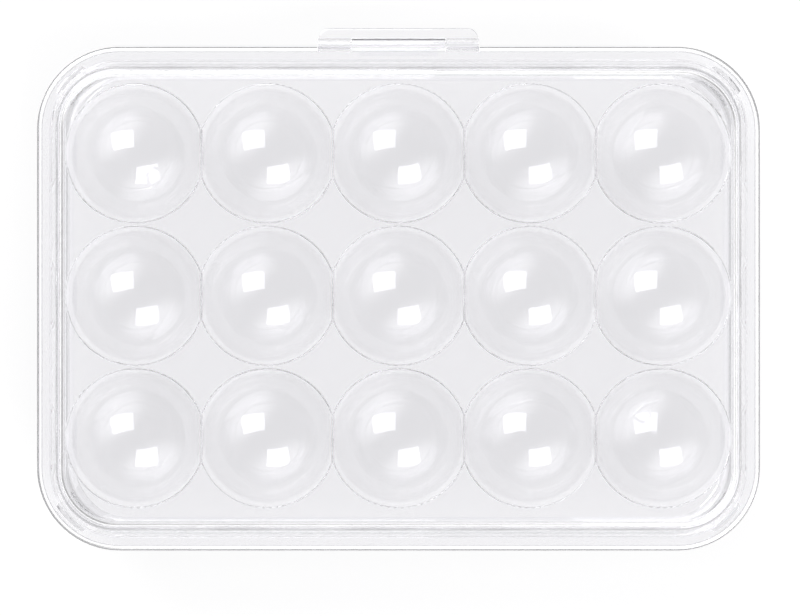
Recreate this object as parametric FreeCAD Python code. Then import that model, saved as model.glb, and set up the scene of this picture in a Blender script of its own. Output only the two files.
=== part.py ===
import FreeCAD, Part
import math
import os

# Egg keeper: a clear tub with 15 egg cups, a lift-off lid and a latch that swings on a pin.
# Millimetres. +Z is up, X runs along the rows of cups, and the latch is on the +Y side.
# The origin is on the table, below the middle of the whole part, latch included.
# The pieces are worked out round the middle of the tub, and are moved to the origin at the end.

# Egg cups
cup_columns = 5
cup_rows = 3
column_pitch = 45.0
row_pitch = 48.7
cup_radius = 22.8
cup_draft_degrees = 14.0
cup_draft_height = 5.8
cup_wall = 0.6
lip_radius = 0.4
ridge_width = 0.9
cup_floor_gap = 1.0
cup_block_shift = 1.1

# Tub
side_margin = 0.65
end_margin = 5.65
tub_wall = 1.6
tub_draft_degrees = 2.0
tub_corner_radius = 22.2
web_thickness = 1.0
web_foot_radius = 4.0
headroom = 28.4
rim_ledge = 0.75
rim_ledge_height = 3.0
foot_edge_radius = 0.4
gate_mark_radius = 1.5
gate_mark_height = 0.35

# Lid
lid_seat_gap = 0.05
skirt_clearance = 0.3
skirt_wall = 1.5
skirt_drop = 5.0
skirt_edge_radius = 0.5
flange_thickness = 1.8
flange_edge_radius = 1.4
flange_width = 6.8
lid_rise = 13.0
lid_wall = 1.8
lid_draft_degrees = 3.0
lid_edge_radius = 2.6
plug_clearance = 0.35
plug_wall = 1.4
plug_depth = 4.0

# Latch and its pin
latch_width = 53.4
latch_plate = 2.3
latch_gap = 0.6
latch_drop = 13.0
latch_corner_radius = 3.3
finger_lip_reach = 4.5
finger_lip_thickness = 1.8
finger_lip_edge_radius = 0.65
finger_scoop_width = 32.0
finger_scoop_depth = 0.9
knuckle_width = 31.0
knuckle_radius = 2.2
ear_clearance = 0.3
pin_radius = 0.9
pin_length = 50.0
pin_seat_clearance = 0.02
pin_running_clearance = 0.06

# Catch on the tub and hook on the latch
catch_width = 26.0
catch_height = 2.4
catch_edge = 1.0
catch_skirt_gap = 1.0
catch_latch_gap = 0.75
hook_width = 24.0
hook_height = 2.0
hook_catch_gap = 0.3
hook_engagement = 0.8

# Every cut runs past the face it opens by this much.
overrun = 5.0

# An edge counts as lying at a height when it is off by no more than this share of its solid's height.
level_share = 1e-6

# Heights
cup_draft = math.radians(cup_draft_degrees)
bowl_level = cup_floor_gap + cup_wall + cup_radius
cup_wall_foot = bowl_level - cup_radius * math.sin(cup_draft)
cup_wall_top = cup_wall_foot + cup_draft_height
web_level = cup_wall_top + lip_radius * (1 - math.sin(cup_draft))
rim_level = web_level + headroom
lid_level = rim_level + lid_seat_gap
tub_slope = math.tan(math.radians(tub_draft_degrees))
lid_slope = math.tan(math.radians(lid_draft_degrees))

# Plan sizes, as half lengths along X and Y
cup_foot_radius = cup_radius * math.cos(cup_draft)
cup_top_radius = cup_foot_radius + cup_draft_height * math.tan(cup_draft)
mouth_radius = cup_top_radius + lip_radius * math.cos(cup_draft)
tub_half_x = (cup_columns - 1) / 2 * column_pitch + mouth_radius + side_margin
tub_half_y = (cup_rows - 1) / 2 * row_pitch + mouth_radius + end_margin
rim_spread = headroom * tub_slope
ledge_offset = tub_wall + rim_spread + rim_ledge
lid_offset = ledge_offset + skirt_clearance + skirt_wall
lid_half_y = tub_half_y + lid_offset

# Places of the latch, seen from the side
latch_inner_y = lid_half_y + latch_gap
latch_outer_y = latch_inner_y + latch_plate
lip_outer_y = latch_outer_y + finger_lip_reach
pin_y = latch_outer_y - knuckle_radius
pin_z = lid_level + flange_thickness - knuckle_radius
latch_bottom = rim_level - latch_drop
catch_top = rim_level - skirt_drop - catch_skirt_gap
catch_bottom = catch_top - catch_height
catch_outer_y = latch_inner_y - catch_latch_gap
hook_inner_y = catch_outer_y - hook_engagement
hook_top = catch_bottom - hook_catch_gap
ear_inner_x = knuckle_width / 2 + ear_clearance
ear_width = latch_width / 2 - ear_inner_x

along_x = FreeCAD.Vector(1, 0, 0)
along_z = FreeCAD.Vector(0, 0, 1)


def rounded_outline(half_x, half_y, radius, z):
    """A closed wire round a rectangle with rounded corners, flat at height z."""
    corners = [(half_x, half_y), (-half_x, half_y), (-half_x, -half_y), (half_x, -half_y)]
    edges = []
    last_point = None
    first_point = None
    for quarter, (x, y) in enumerate(corners):
        centre = FreeCAD.Vector(x - math.copysign(radius, x), y - math.copysign(radius, y), z)
        points = []
        for eighth in (0, 1, 2):
            angle = math.radians(90 * quarter + 45 * eighth)
            points.append(centre + FreeCAD.Vector(math.cos(angle), math.sin(angle), 0) * radius)
        if last_point is not None:
            edges.append(Part.LineSegment(last_point, points[0]).toShape())
        edges.append(Part.Arc(*points).toShape())
        last_point = points[2]
        first_point = first_point or points[0]
    edges.append(Part.LineSegment(last_point, first_point).toShape())
    return Part.Wire(edges)


def rounded_block(offset, low, high, slope=0.0, slope_from=0.0):
    """A solid whose sides stand at an offset from the tub's inside at the web, and lean out by a slope."""
    outlines = []
    for z in (low, high):
        spread = offset + (z - slope_from) * slope
        radius = tub_corner_radius + spread
        outlines.append(rounded_outline(tub_half_x + spread, tub_half_y + spread, radius, z))
    return Part.makeLoft(outlines, True, True)


def edges_at(shape, z):
    """The edges of a shape that lie flat at height z."""
    near = shape.BoundBox.ZLength * level_share
    bounds = [(edge, edge.BoundBox) for edge in shape.Edges]
    return [edge for edge, b in bounds if abs(b.ZMin - z) < near and abs(b.ZMax - z) < near]


def box(low, high):
    """A box between two corners."""
    size = FreeCAD.Vector(*high) - FreeCAD.Vector(*low)
    return Part.makeBox(size.x, size.y, size.z, FreeCAD.Vector(*low))


def rod(radius, half_length, middle_x=0.0):
    """A cylinder on the latch's hinge line."""
    start = FreeCAD.Vector(middle_x - half_length, pin_y, pin_z)
    return Part.makeCylinder(radius, 2 * half_length, start, along_x)


def turned(profile):
    """The solid that a closed list of edges makes when it turns about the Z axis."""
    return Part.Face(Part.Wire(profile)).revolve(FreeCAD.Vector(), along_z, 360)


def line(start, end):
    return Part.LineSegment(FreeCAD.Vector(*start), FreeCAD.Vector(*end)).toShape()


def arc(centre, radius, start_degrees, end_degrees):
    """An arc in the XZ plane, whose angles count from +X towards +Z."""
    points = []
    for degrees in (start_degrees, (start_degrees + end_degrees) / 2, end_degrees):
        angle = math.radians(degrees)
        x = centre[0] + radius * math.cos(angle)
        z = centre[1] + radius * math.sin(angle)
        points.append(FreeCAD.Vector(x, 0, z))
    return Part.Arc(*points).toShape()


def bowl_shell():
    """The outside of one cup: its round bottom and its drafted wall, up into the web."""
    radius = cup_radius + cup_wall
    foot_radius = radius * math.cos(cup_draft)
    foot = bowl_level - radius * math.sin(cup_draft)
    top = web_level - web_thickness / 2
    top_radius = foot_radius + (top - foot) * math.tan(cup_draft)
    return turned([
        arc((0, bowl_level), radius, -90, -cup_draft_degrees),
        line((foot_radius, 0, foot), (top_radius, 0, top)),
        line((top_radius, 0, top), (0, 0, top)),
        line((0, 0, top), (0, 0, bowl_level - radius)),
    ])


def bowl_hollow():
    """The inside of one cup: a round bottom, a drafted wall, a lip, and the way past the tub wall's foot."""
    top = web_level + web_foot_radius
    return turned([
        arc((0, bowl_level), cup_radius, -90, -cup_draft_degrees),
        line((cup_foot_radius, 0, cup_wall_foot), (cup_top_radius, 0, cup_wall_top)),
        arc((mouth_radius, web_level - lip_radius), lip_radius, 180 - cup_draft_degrees, 90),
        line((mouth_radius, 0, web_level), (mouth_radius, 0, top)),
        line((mouth_radius, 0, top), (0, 0, top)),
        line((0, 0, top), (0, 0, bowl_level - cup_radius)),
    ])


def cup_places():
    """The middle of every cup on the table plane."""
    places = []
    for row in range(cup_rows):
        for column in range(cup_columns):
            x = (column - (cup_columns - 1) / 2) * column_pitch
            y = (row - (cup_rows - 1) / 2) * row_pitch + cup_block_shift
            places.append(FreeCAD.Vector(x, y, 0))
    return places


def ridges():
    """The thin straight walls that stay between neighbouring cups, one along each side of a column."""
    walls = []
    for column in range(cup_columns - 1):
        x = (column - (cup_columns - 2) / 2) * column_pitch
        walls.append(box(
            (x - ridge_width / 2, -tub_half_y, 0.0),
            (x + ridge_width / 2, tub_half_y, web_level),
        ))
    return walls


def gate_marks():
    """The low round marks that moulding leaves on the web where four cups meet."""
    marks = []
    for row in range(cup_rows - 1):
        for column in range(cup_columns - 1):
            x = (column - (cup_columns - 2) / 2) * column_pitch
            y = (row - (cup_rows - 2) / 2) * row_pitch + cup_block_shift
            foot = FreeCAD.Vector(x, y, web_level - web_thickness / 2)
            marks.append(Part.makeCylinder(gate_mark_radius, web_thickness / 2 + gate_mark_height, foot))
    return marks


def latch_catch():
    """The rib on the tub's wall that the latch hooks under, with a sloped top and a flat underside."""
    outline = [
        (tub_half_y, catch_top),
        (tub_half_y, catch_bottom),
        (catch_outer_y, catch_bottom),
        (catch_outer_y, catch_bottom + catch_edge),
        (tub_half_y + tub_wall, catch_top),
    ]
    points = [FreeCAD.Vector(-catch_width / 2, y, z) for y, z in outline]
    return Part.Face(Part.makePolygon(points + points[:1])).extrude(along_x * catch_width)


def make_base():
    """The tub, its web and its cups, in one piece."""
    outside = rounded_block(tub_wall, 0.0, rim_level, tub_slope, web_level)
    outside = outside.makeFillet(foot_edge_radius, edges_at(outside, 0.0))
    ledge = rounded_block(ledge_offset, rim_level - rim_ledge_height, rim_level)
    below = rounded_block(0.0, -overrun, web_level - web_thickness, tub_slope, web_level)
    above = rounded_block(0.0, web_level, rim_level + overrun, tub_slope, web_level)
    above = above.makeFillet(web_foot_radius, edges_at(above, web_level))
    shells = [bowl_shell().translated(place) for place in cup_places()]
    hollows = [bowl_hollow().translated(place).cut(ridges()) for place in cup_places()]
    base = outside.fuse([ledge, latch_catch()]).cut([below, above])
    base = base.fuse(shells + gate_marks())
    return base.cut(hollows).removeSplitter()


def make_lid():
    """The cover: top, rim, skirt, locating rib, and the knuckle that holds the pin."""
    flange_top = lid_level + flange_thickness
    rim = rounded_block(lid_offset, rim_level - skirt_drop, flange_top)
    rim = rim.makeFillet(flange_edge_radius, edges_at(rim, flange_top))
    under_rim = rounded_block(lid_offset - skirt_wall, rim_level - skirt_drop - overrun, lid_level)
    rim = rim.cut(under_rim)
    rim = rim.makeFillet(skirt_edge_radius, edges_at(rim, rim_level - skirt_drop))
    plug_offset = rim_spread - plug_depth * tub_slope - plug_clearance
    plug = rounded_block(plug_offset, rim_level - plug_depth, flange_top)
    in_plug = rounded_block(plug_offset - plug_wall, rim_level - plug_depth - overrun, lid_level)
    dome_offset = lid_offset - flange_width
    lid_top = lid_level + lid_rise
    dome = rounded_block(dome_offset, lid_level, lid_top, -lid_slope, lid_level)
    dome = dome.makeFillet(lid_edge_radius, edges_at(dome, lid_top))
    hollow_top = lid_top - lid_wall
    hollow = rounded_block(dome_offset - lid_wall, lid_level - overrun, hollow_top, -lid_slope, lid_level)
    hollow = hollow.makeFillet(lid_edge_radius - lid_wall / 2, edges_at(hollow, hollow_top))
    knuckle_block = box(
        (-knuckle_width / 2, lid_half_y - skirt_wall, pin_z - knuckle_radius),
        (knuckle_width / 2, pin_y, pin_z + knuckle_radius),
    )
    ear_notches = []
    for side in (-1, 1):
        ends = sorted((side * knuckle_width / 2, side * (latch_width / 2 + ear_clearance)))
        ear_notches.append(box(
            (ends[0], pin_y - knuckle_radius - ear_clearance, rim_level - skirt_drop - overrun),
            (ends[1], lip_outer_y, flange_top + overrun),
        ))
    lid = rim.fuse([plug.cut(in_plug), dome]).cut([hollow] + ear_notches)
    lid = lid.fuse([knuckle_block, rod(knuckle_radius, knuckle_width / 2)])
    return lid.cut(rod(pin_radius + pin_seat_clearance, ear_inner_x)).removeSplitter()


def make_latch():
    """The clip: a plate with two ears on the pin, a hook on its inside and a lip for the finger."""
    half = latch_width / 2
    plate = box((-half, latch_inner_y, latch_bottom), (half, latch_outer_y, pin_z))
    scoop_radius = (finger_scoop_width ** 2 / 4 + finger_scoop_depth ** 2) / (2 * finger_scoop_depth)
    scoop_centre_y = latch_outer_y - finger_scoop_depth + scoop_radius
    scoop_bottom = latch_bottom + finger_lip_thickness
    scoop = Part.makeCylinder(scoop_radius, latch_drop, FreeCAD.Vector(0, scoop_centre_y, scoop_bottom))
    lip = box((-half, latch_inner_y, latch_bottom), (half, lip_outer_y, scoop_bottom))
    bounds = [(edge, edge.BoundBox) for edge in lip.Edges]
    upright_corners = [edge for edge, b in bounds if b.YMin > latch_outer_y and b.ZLength > b.XLength]
    lip = lip.makeFillet(latch_corner_radius, upright_corners)
    lip_edges = edges_at(lip, latch_bottom) + edges_at(lip, scoop_bottom)
    free_edges = [edge for edge in lip_edges if edge.BoundBox.YMax > latch_outer_y]
    lip = lip.makeFillet(finger_lip_edge_radius, free_edges)
    notch = box(
        (-ear_inner_x, latch_inner_y - overrun, pin_z - knuckle_radius - ear_clearance),
        (ear_inner_x, lip_outer_y, pin_z + overrun),
    )
    ears = [rod(knuckle_radius, ear_width / 2, side * (ear_inner_x + ear_width / 2)) for side in (-1, 1)]
    hook_outline = [
        (latch_outer_y - latch_plate / 2, hook_top),
        (hook_inner_y, hook_top),
        (hook_inner_y, hook_top - hook_height / 2),
        (latch_inner_y, hook_top - hook_height),
        (latch_outer_y - latch_plate / 2, hook_top - hook_height),
    ]
    points = [FreeCAD.Vector(-hook_width / 2, y, z) for y, z in hook_outline]
    hook = Part.Face(Part.makePolygon(points + points[:1])).extrude(along_x * hook_width)
    latch = plate.cut([scoop, notch]).fuse([lip, hook] + ears)
    return latch.cut(rod(pin_radius + pin_running_clearance, latch_width)).removeSplitter()


def make_latch_pin():
    """The rod that the latch swings on."""
    return rod(pin_radius, pin_length / 2)


to_origin = FreeCAD.Vector(0, (lid_half_y - lip_outer_y) / 2, 0)
parts = {
    "base": make_base(),
    "lid": make_lid(),
    "latch": make_latch(),
    "latch_pin": make_latch_pin(),
}

os.makedirs("parts", exist_ok=True)
for name, shape in parts.items():
    shape.translate(to_origin)
    print(name, "solids", len(shape.Solids), "valid", shape.isValid(), "volume", round(shape.Volume, 1))
    shape.exportStep("parts/" + name + ".step")
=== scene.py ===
import math

import bpy
from mathutils import Matrix, Vector


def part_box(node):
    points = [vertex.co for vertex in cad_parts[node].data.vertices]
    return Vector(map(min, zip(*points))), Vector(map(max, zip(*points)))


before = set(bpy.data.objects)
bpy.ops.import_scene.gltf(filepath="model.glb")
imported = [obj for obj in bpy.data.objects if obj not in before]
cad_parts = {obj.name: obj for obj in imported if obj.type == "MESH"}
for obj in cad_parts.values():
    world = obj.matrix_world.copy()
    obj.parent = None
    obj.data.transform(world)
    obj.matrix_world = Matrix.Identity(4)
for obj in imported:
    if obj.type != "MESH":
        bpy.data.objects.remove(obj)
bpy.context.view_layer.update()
scene = bpy.context.scene

# Camera, in metres: straight above, with the latch at the top of the picture.
camera_x = 0.0005
camera_y = -0.0068
rim_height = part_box("base")[1].z
camera_above_rim = 0.90
view_width_at_rim = 0.2652
sensor_mm = 36.0

# Soft boxes: the direction each lies in, seen from the part, its size, how bright it is, and the glow round it.
lamp_distance = 2.0
lamps = {
    "front_box": {
        "towards": (0.70, -0.72), "off_vertical": 36.6, "size": (1.40, 1.15), "radiance": 3.5,
        "glow": 2.4, "glow_off_vertical": 72, "glow_degrees": (62, 22),
    },
    "back_box": {
        "towards": (-0.47, 0.88), "off_vertical": 40, "size": (1.35, 1.15), "radiance": 3.5,
        "glow": 2.4, "glow_off_vertical": 72, "glow_degrees": (62, 22),
    },
}

# Bounces that a ray may make in the plastic, and in all.
plastic_bounces = 32
all_bounces = 40

# World: the light that it gives, overhead and at the horizon, and the white that it adds where it is looked at.
sky_overhead = 0.12
sky_horizon = 0.30
white_overhead = 0.55
white_horizon = 0.3

# Plastic: its refraction, how much light it scatters, and its gloss and moulding wave with the size of their spots.
plastic_ior = 1.58
haze = 0.02
web_haze = 0.05
gloss_range = (0.0, 0.02)
gloss_spots = 0.012
gloss_noise = (0.35, 0.75)
gloss_detail = 3.0
wave_height = 0.00003
wave_length = 0.016
wave_detail = 1.0

# Tints: the web is a little darker than the cups' walls. Painted shade: the bowls are a little darker than the walls,
# and the cups' lips darker still, as painted dark rings. The steep edges of the wall, the lid and the latch are darker
# than their faces, as painted dark outlines, most of all round the lid's rim.
plastic_colour = (0.990, 0.988, 0.998, 1.0)
# Painted shade: the bowls are tinted darker than the rest of the plastic.
bowl_painted_shade = (0.865, 0.863, 0.875, 1.0)
web_colour = (0.955, 0.953, 0.965, 1.0)
# Painted shade: dark rings on the cups' lips.
lip_painted_shade = (0.45, 0.45, 0.46, 1.0)
wall_colour = (0.87, 0.868, 0.878, 1.0)
# Painted shade: dark outline on the wall's steep edges.
wall_edge_painted_shade = (0.72, 0.72, 0.73, 1.0)
lid_colour = (0.965, 0.963, 0.973, 1.0)
# Painted shade: dark outlines on the lid's steep edges, darkest at its outer rim.
lid_edge_painted_shade = (0.55, 0.55, 0.56, 1.0)
rim_painted_outline = (0.12, 0.12, 0.125, 1.0)
latch_colour = (0.88, 0.878, 0.888, 1.0)
# Painted shade: dark outline on the latch's steep edges.
latch_edge_painted_shade = (0.60, 0.60, 0.61, 1.0)
# How edge-on a surface must be seen to get the painted dark outline.
edge_range = (0.08, 0.42)

# Light that goes straight through the plastic: the lamps' own, which leaves a soft shadow, light that is still caught
# in a wall after so many bounces, and, outside the cups, light that was mirrored after so many.
shadow_colour = (0.92, 0.919, 0.923, 1.0)
caught_colour = (0.98, 0.98, 0.985, 1.0)
caught_bounces = 9.5
mirrored_bounces = 2.5

# Where the tints and the painted shade lie on the base: the cups' middle and half width, the heights between which the
# bowls end, and the slopes, from 0 upright to 1 flat, of the surfaces that count as web and as lip.
cup_zone = {"X": (0.0, 0.1135), "Y": (-0.0037, 0.0772), "Z": (0.0186, 0.0194)}
web_slope = (0.35, 0.55)
lip_slope = (0.28, 0.36, 0.80, 0.95)

# The lid's outline, and how far in from it the edge counts as its rim, where the painted dark outline is darkest.
lid_middle_y = -0.0037
lid_half = (0.11975, 0.08345)
lid_corner = 0.02734
rim_edge = (0.0022, 0.0012)

# Floor: its colour, and the white that it adds where it is looked at. The white that shows through the plastic
# ends at a distance, as on a light table, so that the part's edges show against it.
floor_drop = 0.0002
floor_radius = 60.0
floor_sides = 96
floor_colour = (0.80, 0.80, 0.80, 1.0)
floor_white = 0.48
table_white = 0.62
light_table = (0.20, 0.45)


def lamp_direction(towards, off_vertical):
    """The unit vector from the part to a lamp."""
    tilt = math.radians(off_vertical)
    return Vector((*towards, 0)).normalized() * math.sin(tilt) + Vector((0, 0, math.cos(tilt)))


def new_material(name):
    """An empty node material with its output node."""
    material = bpy.data.materials.new(name)
    material.use_nodes = True
    tree = material.node_tree
    tree.nodes.clear()
    output = tree.nodes.new("ShaderNodeOutputMaterial")
    return material, tree, output


def calculate(tree, operation, first, second):
    """The result of a sum, product or comparison of two sockets, or of a socket and a number."""
    node = tree.nodes.new("ShaderNodeMath")
    node.operation = operation
    tree.links.new(first, node.inputs[0])
    if isinstance(second, float):
        node.inputs[1].default_value = second
    else:
        tree.links.new(second, node.inputs[1])
    return node.outputs[0]


def off_middle(tree, value, middle):
    """How far a value lies from a middle, to either side."""
    return calculate(tree, "ABSOLUTE", calculate(tree, "SUBTRACT", value, middle), 0.0)


def axes(tree, vector):
    """The X, Y and Z of a vector."""
    node = tree.nodes.new("ShaderNodeSeparateXYZ")
    tree.links.new(vector, node.inputs[0])
    return node.outputs


def length(tree, vector):
    """The length of a vector."""
    node = tree.nodes.new("ShaderNodeVectorMath")
    node.operation = "LENGTH"
    tree.links.new(vector, node.inputs[0])
    return node.outputs["Value"]


def ramp(tree, value, start, end, low, high):
    """A smooth change from low to high while a value goes from start to end."""
    node = tree.nodes.new("ShaderNodeMapRange")
    node.interpolation_type = "SMOOTHSTEP"
    for name, number in (("From Min", start), ("From Max", end), ("To Min", low), ("To Max", high)):
        node.inputs[name].default_value = number
    tree.links.new(value, node.inputs["Value"])
    return node.outputs[0]


def noise(tree, place, size, detail):
    """Soft noise whose spots are about as large as a size in metres."""
    node = tree.nodes.new("ShaderNodeTexNoise")
    node.inputs["Scale"].default_value = 1 / size
    node.inputs["Detail"].default_value = detail
    tree.links.new(place, node.inputs["Vector"])
    return node.outputs["Fac"]


def two_tone(tree, share, first, second):
    """A colour that changes from the first to the second as a share goes from zero to one."""
    node = tree.nodes.new("ShaderNodeMix")
    node.data_type = "RGBA"
    for end, colour in (("A", first), ("B", second)):
        if isinstance(colour, tuple):
            node.inputs[end].default_value = colour
        else:
            tree.links.new(colour, node.inputs[end])
    tree.links.new(share, node.inputs["Factor"])
    return node.outputs["Result"]


def rim_share(tree, place):
    """One at the lid's outer edge and zero further in, all round its rounded outline."""
    point = axes(tree, place)
    outside = tree.nodes.new("ShaderNodeCombineXYZ")
    for axis, middle, half in (("X", 0.0, lid_half[0]), ("Y", lid_middle_y, lid_half[1])):
        off = off_middle(tree, point[axis], middle)
        past = calculate(tree, "MAXIMUM", calculate(tree, "SUBTRACT", off, half - lid_corner), 0.0)
        tree.links.new(past, outside.inputs[axis])
    distance = length(tree, outside.outputs[0])
    return ramp(tree, distance, lid_corner - rim_edge[0], lid_corner - rim_edge[1], 0.0, 1.0)


def cup_masks(tree, place):
    """Where a point of the base lies: among the cups at all, on a bowl, on the flat web, and on a cup's lip."""
    point = axes(tree, place)
    among = None
    for axis in ("X", "Y"):
        middle, half = cup_zone[axis]
        within = calculate(tree, "LESS_THAN", off_middle(tree, point[axis], middle), half)
        among = calculate(tree, "MULTIPLY", within, among) if among else within
    upper = calculate(tree, "MULTIPLY", among, ramp(tree, point["Z"], *cup_zone["Z"], 0.0, 1.0))
    bowls = calculate(tree, "SUBTRACT", among, upper)
    normal = axes(tree, tree.nodes.new("ShaderNodeNewGeometry").outputs["True Normal"])
    flatness = calculate(tree, "ABSOLUTE", normal["Z"], 0.0)
    web = calculate(tree, "MULTIPLY", upper, ramp(tree, flatness, *web_slope, 0.0, 1.0))
    tilted = calculate(tree, "MULTIPLY", ramp(tree, flatness, *lip_slope[:2], 0.0, 1.0),
                       ramp(tree, flatness, *lip_slope[2:], 1.0, 0.0))
    lips = calculate(tree, "MULTIPLY", upper, tilted)
    return among, bowls, web, lips


def straight_share(tree, among_cups):
    """Which rays go straight through: first those that light something, then those that are caught or mirrored."""
    path = tree.nodes.new("ShaderNodeLightPath").outputs
    lighting = calculate(tree, "MAXIMUM", path["Is Shadow Ray"], path["Is Diffuse Ray"])
    caught = calculate(tree, "GREATER_THAN", path["Ray Depth"], caught_bounces)
    late = calculate(tree, "GREATER_THAN", path["Ray Depth"], mirrored_bounces)
    mirrored = calculate(tree, "MULTIPLY", path["Is Glossy Ray"], late)
    if among_cups:
        mirrored = calculate(tree, "MULTIPLY", mirrored, ramp(tree, among_cups, 0.0, 1.0, 1.0, 0.0))
    return lighting, calculate(tree, "MAXIMUM", caught, mirrored)


def clear_plastic(name, cupped=False, rimmed=False):
    """Glossy, colourless moulded plastic that lamps shine through, with a faint moulding wave and worn gloss.

    A ray that is still caught in a wall after many bounces leaves it straight, instead of ending as black. Light that
    a cup has mirrored goes straight through the wall and the lid, so that the lamps show whole in every cup.
    """
    material, tree, output = new_material(name)
    nodes, links = tree.nodes, tree.links
    place = nodes.new("ShaderNodeTexCoord").outputs["Object"]
    glass = nodes.new("ShaderNodeBsdfPrincipled")
    glass.inputs["IOR"].default_value = plastic_ior
    spots = noise(tree, place, gloss_spots, gloss_detail)
    links.new(ramp(tree, spots, *gloss_noise, *gloss_range), glass.inputs["Roughness"])
    wave = nodes.new("ShaderNodeBump")
    wave.inputs["Distance"].default_value = wave_height
    links.new(noise(tree, place, wave_length, wave_detail), wave.inputs["Height"])
    links.new(wave.outputs[0], glass.inputs["Normal"])
    # How edge-on each point is seen; steep edges get painted dark outlines from this.
    steep = ramp(tree, nodes.new("ShaderNodeLayerWeight").outputs["Facing"], *edge_range, 0.0, 1.0)
    among = None
    if cupped:
        among, bowls, web, lips = cup_masks(tree, place)
        links.new(ramp(tree, web, 0.0, 1.0, 1 - haze, 1 - web_haze), glass.inputs["Transmission Weight"])
        # Painted shade darkens the bowls; the web keeps its own light tint.
        cups = two_tone(tree, web, two_tone(tree, bowls, plastic_colour, bowl_painted_shade), web_colour)
        # Painted shade: dark rings on the cups' lips.
        cups = two_tone(tree, lips, cups, lip_painted_shade)
        # Painted dark outline on the wall's steep edges.
        wall = two_tone(tree, steep, wall_colour, wall_edge_painted_shade)
        links.new(two_tone(tree, among, wall, cups), glass.inputs["Base Color"])
    else:
        glass.inputs["Transmission Weight"].default_value = 1 - haze
        # Painted dark outline on the latch's steep edges, and on the lid's, darkest round its rim.
        face, edge = latch_colour, latch_edge_painted_shade
        if rimmed:
            face, edge = lid_colour, two_tone(tree, rim_share(tree, place), lid_edge_painted_shade, rim_painted_outline)
        links.new(two_tone(tree, steep, face, edge), glass.inputs["Base Color"])
    lighting, let_out = straight_share(tree, among)
    passing = nodes.new("ShaderNodeBsdfTransparent")
    links.new(two_tone(tree, lighting, caught_colour, shadow_colour), passing.inputs["Color"])
    mix = nodes.new("ShaderNodeMixShader")
    links.new(calculate(tree, "MAXIMUM", lighting, let_out), mix.inputs[0])
    links.new(glass.outputs[0], mix.inputs[1])
    links.new(passing.outputs[0], mix.inputs[2])
    links.new(mix.outputs[0], output.inputs["Surface"])
    return material


def looked_at(tree):
    """One for camera, mirrored and refracted rays, and zero for the rays that light the part."""
    path = tree.nodes.new("ShaderNodeLightPath").outputs
    mirrored = calculate(tree, "MAXIMUM", path["Is Camera Ray"], path["Is Glossy Ray"])
    return calculate(tree, "MAXIMUM", mirrored, path["Is Transmission Ray"])


def add_floor():
    """A wide white floor under the part, which keeps the part's shadow."""
    bpy.ops.mesh.primitive_circle_add(vertices=floor_sides, radius=floor_radius, fill_type="NGON",
                                      location=(0, 0, -floor_drop))
    floor = bpy.context.object
    floor.name = "floor"
    material, tree, output = new_material("floor_white")
    nodes, links = tree.nodes, tree.links
    diffuse = nodes.new("ShaderNodeBsdfDiffuse")
    diffuse.inputs["Color"].default_value = floor_colour
    white = nodes.new("ShaderNodeEmission")
    distance = length(tree, nodes.new("ShaderNodeTexCoord").outputs["Object"])
    table = ramp(tree, distance, *light_table, table_white, 0.0)
    path = nodes.new("ShaderNodeLightPath").outputs
    through = calculate(tree, "MAXIMUM", path["Is Glossy Ray"], path["Is Transmission Ray"])
    strength = calculate(tree, "ADD", calculate(tree, "MULTIPLY", path["Is Camera Ray"], floor_white),
                         calculate(tree, "MULTIPLY", through, table))
    links.new(strength, white.inputs["Strength"])
    both = nodes.new("ShaderNodeAddShader")
    links.new(diffuse.outputs[0], both.inputs[0])
    links.new(white.outputs[0], both.inputs[1])
    links.new(both.outputs[0], output.inputs["Surface"])
    floor.data.materials.append(material)


def add_lamp(name, towards, off_vertical, size, radiance):
    """A rectangular soft box that faces the part, with its sides along X and Y seen from above."""
    data = bpy.data.lights.new(name, "AREA")
    data.shape = "RECTANGLE"
    data.size, data.size_y = size
    data.energy = radiance * math.pi * size[0] * size[1]
    lamp = bpy.data.objects.new(name, data)
    scene.collection.objects.link(lamp)
    back = lamp_direction(towards, off_vertical)
    across = (Vector((1, 0, 0)) - back * back.x).normalized()
    up = back.cross(across)
    lamp.matrix_world = Matrix((across, up, back)).transposed().to_4x4()
    lamp.location = back * lamp_distance


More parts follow.
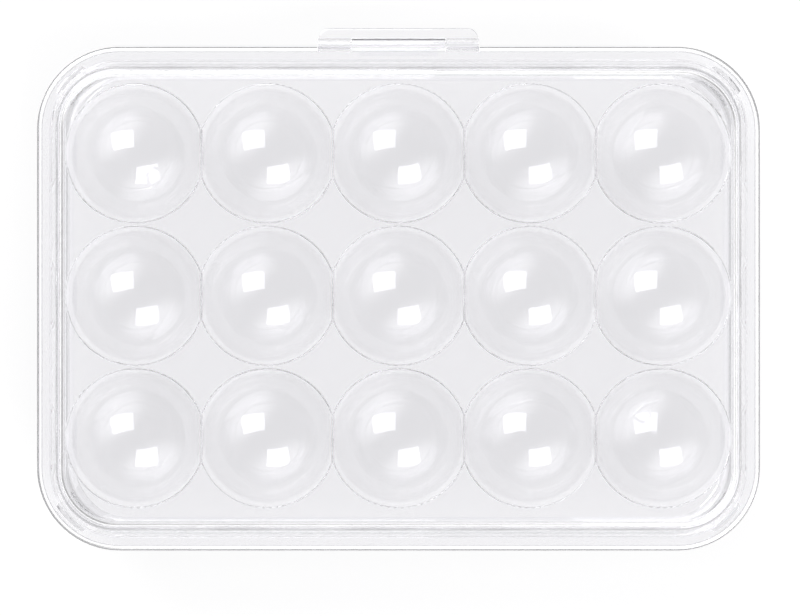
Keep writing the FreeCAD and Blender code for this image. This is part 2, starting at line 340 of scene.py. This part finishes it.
def add_world():
    """Studio light that fades from the horizon up, with a soft glow round each soft box."""
    world = bpy.data.worlds.new("studio")
    scene.world = world
    world.use_nodes = True
    tree = world.node_tree
    nodes, links = tree.nodes, tree.links
    nodes.clear()
    output = nodes.new("ShaderNodeOutputWorld")
    background = nodes.new("ShaderNodeBackground")
    direction = nodes.new("ShaderNodeTexCoord").outputs["Generated"]
    height = axes(tree, direction)["Z"]
    sky = ramp(tree, height, 0.0, 1.0, sky_horizon, sky_overhead)
    backdrop = ramp(tree, height, 0.0, 1.0, white_horizon, white_overhead)
    for lamp in lamps.values():
        nearness = nodes.new("ShaderNodeVectorMath")
        nearness.operation = "DOT_PRODUCT"
        nearness.inputs[1].default_value = lamp_direction(lamp["towards"], lamp["glow_off_vertical"])
        links.new(direction, nearness.inputs[0])
        edges = [math.cos(math.radians(degrees)) for degrees in lamp["glow_degrees"]]
        glow = ramp(tree, nearness.outputs["Value"], *edges, 0.0, lamp["glow"])
        backdrop = calculate(tree, "ADD", glow, backdrop)
    seen = calculate(tree, "MULTIPLY", looked_at(tree), backdrop)
    links.new(calculate(tree, "ADD", sky, seen), background.inputs["Strength"])
    links.new(background.outputs[0], output.inputs["Surface"])


def add_camera():
    """A camera that looks straight down, as wide at the rim as the picture."""
    data = bpy.data.cameras.new("camera")
    camera = bpy.data.objects.new("camera", data)
    scene.collection.objects.link(camera)
    data.sensor_width = sensor_mm
    data.lens = sensor_mm * camera_above_rim / view_width_at_rim
    camera.location = (camera_x, camera_y, rim_height + camera_above_rim)
    scene.camera = camera


scene.view_settings.view_transform = "Standard"
scene.cycles.transparent_max_bounces = plastic_bounces
scene.cycles.transmission_bounces = plastic_bounces
scene.cycles.glossy_bounces = plastic_bounces
scene.cycles.max_bounces = all_bounces
plastic = clear_plastic("clear_plastic")
plastics = {"base": clear_plastic("clear_plastic_base", cupped=True),
            "lid": clear_plastic("clear_plastic_lid", rimmed=True)}
for name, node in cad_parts.items():
    node.data.materials.clear()
    node.data.materials.append(plastics.get(name, plastic))
add_floor()
for name, lamp in lamps.items():
    add_lamp(name, lamp["towards"], lamp["off_vertical"], lamp["size"], lamp["radiance"])
add_world()
add_camera()
